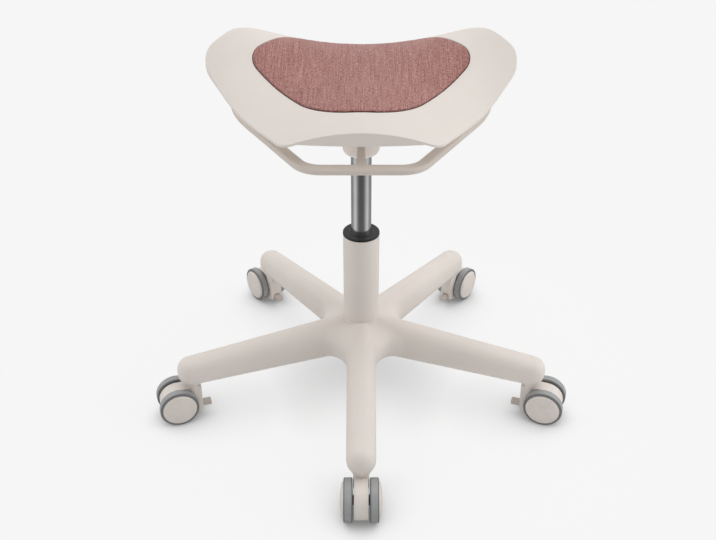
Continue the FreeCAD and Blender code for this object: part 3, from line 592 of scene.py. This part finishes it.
@dataclass
class Upholstery:
    """The upholstered inlay of the seat.

    A slope is the upward share of a normal: 1 on a level top, 0 on a wall and -1 on an underside.
    """

    cloth_thickness: float = 1.2 * MM
    voxel: float = 2.3 * MM
    smoothing: float = 0.5
    smoothing_rounds: int = 4
    underside_slope: float = -0.8
    held_slope: float = 0.45
    seam_shade_slope: float = 0.3
    seam_shade_span: float = 0.35
    pressure: float = 4.0
    cloth_quality: int = 6
    swell: float = 1.6 * MM
    frames: int = 20
    nodes: tuple[str, ...] = ("pad_cover", "pad_foam")

    def pad(self) -> bpy.types.Object:
        """Builds the swollen pad with its cloth.

        Returns:
            The pad, which stands for the foam and its cover.
        """
        piece = copy_of_node("pad_foam", "seat_pad")
        self._grow(piece)
        form = piece.copy()
        form.data = piece.data.copy()
        form.name = "pad_form"
        bpy.context.scene.collection.objects.link(form)
        only(piece)
        apply_modifier(piece, "REMESH", {"mode": "VOXEL", "voxel_size": self.voxel})
        apply_modifier(piece, "SMOOTH", {"factor": self.smoothing, "iterations": self.smoothing_rounds})
        apply_modifier(piece, "SHRINKWRAP", {"wrap_method": "NEAREST_SURFACEPOINT", "target": form})
        self._inflate(piece)
        bpy.data.objects.remove(form)
        only(piece)
        bpy.ops.object.shade_smooth()
        self._paint_seam_shade(piece)
        piece.data.materials.clear()
        dress(piece, "pad_fabric")
        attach(piece, "seat")
        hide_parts(*self.nodes)
        return piece

    def _grow(self, piece: bpy.types.Object) -> None:
        """Moves the foam's sides and top out by the cloth's thickness."""
        facing = normals_of(piece)
        group = piece.vertex_groups.new(name="outside")
        for index, normal in enumerate(facing):
            if normal[2] > self.underside_slope:
                group.add([index], 1.0, "REPLACE")
        settings = {"strength": self.cloth_thickness, "mid_level": 0.0, "vertex_group": "outside"}
        apply_modifier(piece, "DISPLACE", settings)

    def _paint_seam_shade(self, piece: bpy.types.Object) -> None:
        """Marks how far the cloth turns down into the seam, where its colour is darkened as painted shade
        of the seam's gap.
        """
        # Painted shade: the more sideways the cloth faces, the darker it is painted, up to the full seam
        # shade.
        level = numpy.clip((normals_of(piece)[:, 2] - self.seam_shade_slope) / self.seam_shade_span, 0.0, 1.0)
        marks = piece.data.attributes.new("painted_seam_shade", "FLOAT", "POINT")
        marks.data.foreach_set("value", 1 - level)

    def _inflate(self, piece: bpy.types.Object) -> None:
        """Blows the pad up as cloth over foam, within a limit.

        Args:
            piece: the pad, whose sides and underside stay where they are.
        """
        start = points_of(piece)
        facing = normals_of(piece)
        held = piece.vertex_groups.new(name="held")
        for index, normal in enumerate(facing):
            if normal[2] < self.held_slope:
                held.add([index], 1.0, "REPLACE")
        cloth = piece.modifiers.new("cloth", "CLOTH")
        cloth.settings.quality = self.cloth_quality
        cloth.settings.use_pressure = True
        cloth.settings.uniform_pressure_force = self.pressure
        cloth.settings.vertex_group_mass = "held"
        cloth.settings.effector_weights.gravity = 0.0
        cloth.point_cache.frame_start = 1
        cloth.point_cache.frame_end = self.frames
        for step in range(1, self.frames + 1):
            bpy.context.scene.frame_set(step)
        only(piece)
        bpy.ops.object.modifier_apply(modifier=cloth.name)
        bpy.context.scene.frame_set(1)
        moved = points_of(piece) - start
        reach = numpy.linalg.norm(moved, axis=1)
        share = self.swell * numpy.tanh(reach / self.swell) / numpy.maximum(reach, LEAST_MOVE)
        piece.data.vertices.foreach_set("co", (start + moved * share[:, None]).ravel())
        piece.data.update()


@dataclass
class DressedNodes:
    """Pieces that keep their solid's shape and get its finish."""

    record: dict = field(default_factory=lambda: frame["record"])

    def dress_all(self) -> int:
        """Dresses each node by its material slot.

        Returns:
            The number of nodes.
        """
        for part in self.record["subparts"]:
            dress(frame["nodes"][part["node"]], part["material_slot"])
        return len(self.record["subparts"])


@dataclass
class Caster:
    """One twin-wheel caster: two-tone tyres, cream wheels with painted shade on their inner side, and a
    housing with a sloping heel.

    The heel's two points are given by their distance outward from the swivel and their height.
    """

    number: int
    tread_middle: float = 16.75 * MM
    tread_half: float = 3.7 * MM
    disc_middle: float = 22 * MM
    disc_half: float = 9.6 * MM
    heel_high: tuple[float, float] = (-11.4 * MM, 11.0 * MM)
    heel_low: tuple[float, float] = (10.0 * MM, 3.0 * MM)
    edge_angle: float = 30.0

    def build(self) -> bpy.types.Object:
        """Dresses the wheels and tyres and builds the housing.

        Returns:
            The housing.
        """
        joints = {joint["name"]: joint for joint in frame["record"]["behaviour"]["joints"]}
        swivel = Vector(joints[f"caster_{self.number}_swivel"]["pos_m"])
        roll = joints[f"caster_{self.number}_roll_left"]
        middle, axle = tuple(roll["pos_m"]), tuple(roll["axis"])
        tyre = BandedFinish(f"tyre_grey_{self.number}", middle, axle, self.tread_middle, self.tread_half,
                            TREAD, SIDE_WALL, roughness=0.38, groove=1.0)
        # The wheel's dark colour beside its cream band is painted shade of the gap by the housing.
        disc = BandedFinish(f"wheel_cream_{self.number}", middle, axle, self.disc_middle, self.disc_half,
                            CREAM, WHEEL_GAP_PAINTED_SHADE, roughness=Gloss.SATIN.value, groove=0.0)
        for kind, finish in (("tyre", tyre), ("wheel", disc)):
            material = finish.material()
            for side in ("left", "right"):
                node = frame["nodes"][f"caster_{self.number}_{kind}_{side}"]
                for place in node.material_slots:
                    place.material = material
        outward = Vector(middle) - swivel
        outward.z = 0.0
        outward.normalize()
        return self._housing(swivel, outward)

    def _housing(self, swivel: Vector, outward: Vector) -> bpy.types.Object:
        """Builds the housing, whose heel slopes up to the brake lever.

        Args:
            swivel: a point on the swivel's axis.
            outward: level direction from the swivel to the wheels.

        Returns:
            The housing.
        """
        node = f"caster_{self.number}_housing"
        piece = copy_of_node(node, f"heeled_{node}")
        foot = Vector((swivel.x, swivel.y, 0.0))
        run = self.heel_low[0] - self.heel_high[0]
        fall = self.heel_high[1] - self.heel_low[1]
        start = foot + outward * self.heel_high[0] + Vector((0.0, 0.0, self.heel_high[1]))
        away = outward * -fall + Vector((0.0, 0.0, -run))
        bpy.ops.object.mode_set(mode="EDIT")
        bpy.ops.mesh.select_all(action="SELECT")
        bpy.ops.mesh.bisect(plane_co=start, plane_no=away.normalized(), use_fill=True, clear_outer=True)
        bpy.ops.object.mode_set(mode="OBJECT")
        bpy.ops.object.shade_smooth_by_angle(angle=math.radians(self.edge_angle))
        piece.data.materials.clear()
        dress(piece, "caster_cream")
        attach(piece, f"caster_{self.number}")
        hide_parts(node)
        return piece


@dataclass
class Lamp:
    """One soft box."""

    name: str
    place: tuple[float, float, float]
    width: float
    height: float
    power: float
    target: tuple[float, float, float] = (0.0, 0.0, 0.28)

    def switch_on(self) -> bpy.types.Object:
        """Adds the lamp.

        Returns:
            The lamp's object.
        """
        data = bpy.data.lights.new(self.name, "AREA")
        data.shape = "RECTANGLE"
        data.size = self.width
        data.size_y = self.height
        data.energy = self.power
        lamp = bpy.data.objects.new(self.name, data)
        lamp.location = self.place
        lamp.rotation_euler = (Vector(self.target) - Vector(self.place)).to_track_quat("-Z", "Y").to_euler()
        bpy.context.scene.collection.objects.link(lamp)
        return lamp


@dataclass
class Studio:
    """Camera, pale floor and soft light, with lengths in metres.

    A step is where a smooth change starts and where it ends.
    """

    backdrop: float = 0.922
    ambient: float = 0.68
    front_step: Step = (0.4, 0.92)
    front_loss: float = 0.56
    floor_size: float = 40.0
    floor_tone: float = 0.94
    floor_roughness: float = 0.5
    floor_lift: float = 0.10
    far_step: Step = (0.3, 0.55)
    shadow_share: float = 0.12
    # The contact_, foot and arm_ numbers shape the floor's painted shadow.
    contact_reach: float = 0.12
    contact_samples: int = 24
    contact_step: Step = (0.12, 0.93)
    contact_tone: float = 0.22
    front_foot: float = 0.254
    foot_step: Step = (0.05, 0.09)
    arm_side_step: Step = (0.02, 0.12)
    arm_end_step: Step = (-0.16, 0.1)
    arm_clearing: float = 0.85
    column_y: float = 0.02244
    card_tone: float = 0.3
    card_side_step: Step = (-0.35, 0.25)
    card_side_gain: float = 0.38
    card_front_step: Step = (0.35, 1.0)
    card_front_loss: float = 0.57
    card_core: float = 1e-6
    eye: tuple[float, float, float] = (0.0, -1.16383, 0.96402)
    pitch: float = 29.011
    lens: float = 49.654
    sensor: float = 36.0
    nearest: float = 0.05
    shift: tuple[float, float] = (-0.0045, -0.0959)
    soft_boxes: tuple[Lamp, ...] = (
        Lamp("left_box", (-2.0, 0.2, 1.3), width=1.8, height=1.8, power=8.5),
        Lamp("right_box", (2.0, 0.0, 1.3), width=1.8, height=1.8, power=14.0),
        Lamp("top_box", (0.3, 0.2, 2.4), width=2.4, height=2.4, power=13.0),
    )

    def camera(self) -> None:
        """Sets the camera at the viewing angle."""
        data = bpy.data.cameras.new("camera")
        data.lens = self.lens
        data.sensor_width = self.sensor
        data.shift_x, data.shift_y = self.shift
        data.clip_start = self.nearest
        camera = bpy.data.objects.new("camera", data)
        camera.location = self.eye
        camera.rotation_euler = (math.radians(90 - self.pitch), 0.0, 0.0)
        bpy.context.scene.collection.objects.link(camera)
        bpy.context.scene.camera = camera
        bpy.context.scene.view_settings.view_transform = "Standard"

    def floor(self) -> None:
        """Lays the floor, which fades into the backdrop; for the camera it glows in the backdrop's tone
        with painted shadow near the base, and keeps a small share of its real shadow.
        """
        bpy.ops.object.select_all(action="DESELECT")
        bpy.ops.mesh.primitive_plane_add(size=self.floor_size, location=(0, 0, 0))
        floor = bpy.context.active_object
        floor.name = "floor"
        material, sheet = new_material("pale_floor")
        camera_ray = sheet.ray("Is Camera Ray")
        far = sheet.add("ShaderNodeVectorMath", {"operation": "LENGTH"}, {0: sheet.place()}, "Value")
        plain = far.ramp(*self.far_step) * self.shadow_share + (1 - self.shadow_share)
        paint = {"Color": opaque(grey(self.floor_tone)), "Roughness": self.floor_roughness}
        lit = sheet.add("ShaderNodeBsdfDiffuse", {}, paint)
        lift = sheet.glow(WHITE, camera_ray * self.floor_lift)
        lifted = sheet.add("ShaderNodeAddShader", {}, {0: lit, 1: lift})
        # Painted shadow: for the camera the floor glows in the backdrop's tone, dimmed near the base.
        glow_with_painted_shadow = sheet.glow(grey(self.backdrop), self._painted_shadow_share(sheet))
        bare = sheet.joined(camera_ray * plain, lifted, glow_with_painted_shadow)
        card = sheet.glow(WHITE, self._card(sheet))
        close(sheet, sheet.joined(sheet.ray("Is Glossy Ray"), bare, card))
        floor.data.materials.append(material)

    def _painted_shadow_share(self, sheet: NodeSheet) -> Value:
        """Painted shadow: share of its glow that the floor keeps close to the base, less where ambient
        occlusion finds the base near, and faded beside the front arm.

        Args:
            sheet: the floor's nodes.

        Returns:
            The share, which is 1 on the open floor and contact_tone where the base is closest.
        """
        settings = {"samples": self.contact_samples}
        near = sheet.add("ShaderNodeAmbientOcclusion", settings, {"Distance": self.contact_reach}, "AO")
        clear = near.ramp(*self.contact_step) * (1 - self.contact_tone) + self.contact_tone
        beside = sheet.axis("X").size().ramp(*self.arm_side_step)
        foot = (sheet.axis("Y") + self.front_foot).size().ramp(*self.foot_step)
        behind = (sheet.axis("Y") - self.column_y).ramp(*self.arm_end_step)
        open_front = foot * (1 - beside) * (1 - behind)
        return clear + (1 - clear) * open_front * self.arm_clearing

    def _card(self, sheet: NodeSheet) -> Value:
        """Brightness of the floor in bright metal: dark in front of the column and pale at its sides.

        Args:
            sheet: the floor's nodes.

        Returns:
            The brightness.
        """
        across = sheet.axis("X")
        away = sheet.axis("Y") - self.column_y
        front = 0.0 - away / (across * across + away * away + self.card_core) ** 0.5
        sides = front.ramp(*self.card_side_step) * self.card_side_gain
        return sides - front.ramp(*self.card_front_step) * self.card_front_loss + self.card_tone

    def sky(self) -> None:
        """Sets the world: pale for the camera and in metal, and a soft light with a darker front."""
        world = bpy.data.worlds.new("studio")
        bpy.context.scene.world = world
        world.use_nodes = True
        sheet = NodeSheet(world.node_tree)
        direction = sheet.add("ShaderNodeTexCoord", {}, {}, "Generated")
        front = 0.0 - sheet.add("ShaderNodeSeparateXYZ", {}, {0: direction}, "Y")
        dark = 1 - front.ramp(*self.front_step) * self.front_loss
        camera, glossy = sheet.ray("Is Camera Ray"), sheet.ray("Is Glossy Ray")
        soft = (glossy * (self.backdrop - self.ambient) + self.ambient) * dark
        strength = camera * self.backdrop + (1 - camera) * soft
        light = sheet.add("ShaderNodeBackground", {}, {"Color": opaque(WHITE), "Strength": strength})
        close(sheet, light, "ShaderNodeOutputWorld")

    def lamps(self) -> None:
        """Puts up the soft boxes."""
        for lamp in self.soft_boxes:
            lamp.switch_on()

    def set_up(self) -> None:
        """Builds the whole studio."""
        self.camera()
        self.floor()
        self.sky()
        self.lamps()


def main() -> None:
    """Builds every piece in order."""
    logging.basicConfig(level=logging.INFO, format="%(message)s")
    Studio().set_up()
    LOG.info("studio set up")
    LOG.info("%d solids dressed", DressedNodes().dress_all())
    pad = Upholstery().pad()
    LOG.info("%s: %d faces", pad.name, len(pad.data.polygons))
    for number in range(1, CASTER_COUNT + 1):
        housing = Caster(number).build()
        LOG.info("%s: %d faces", housing.name, len(housing.data.polygons))


if __name__ == "__main__":
    main()
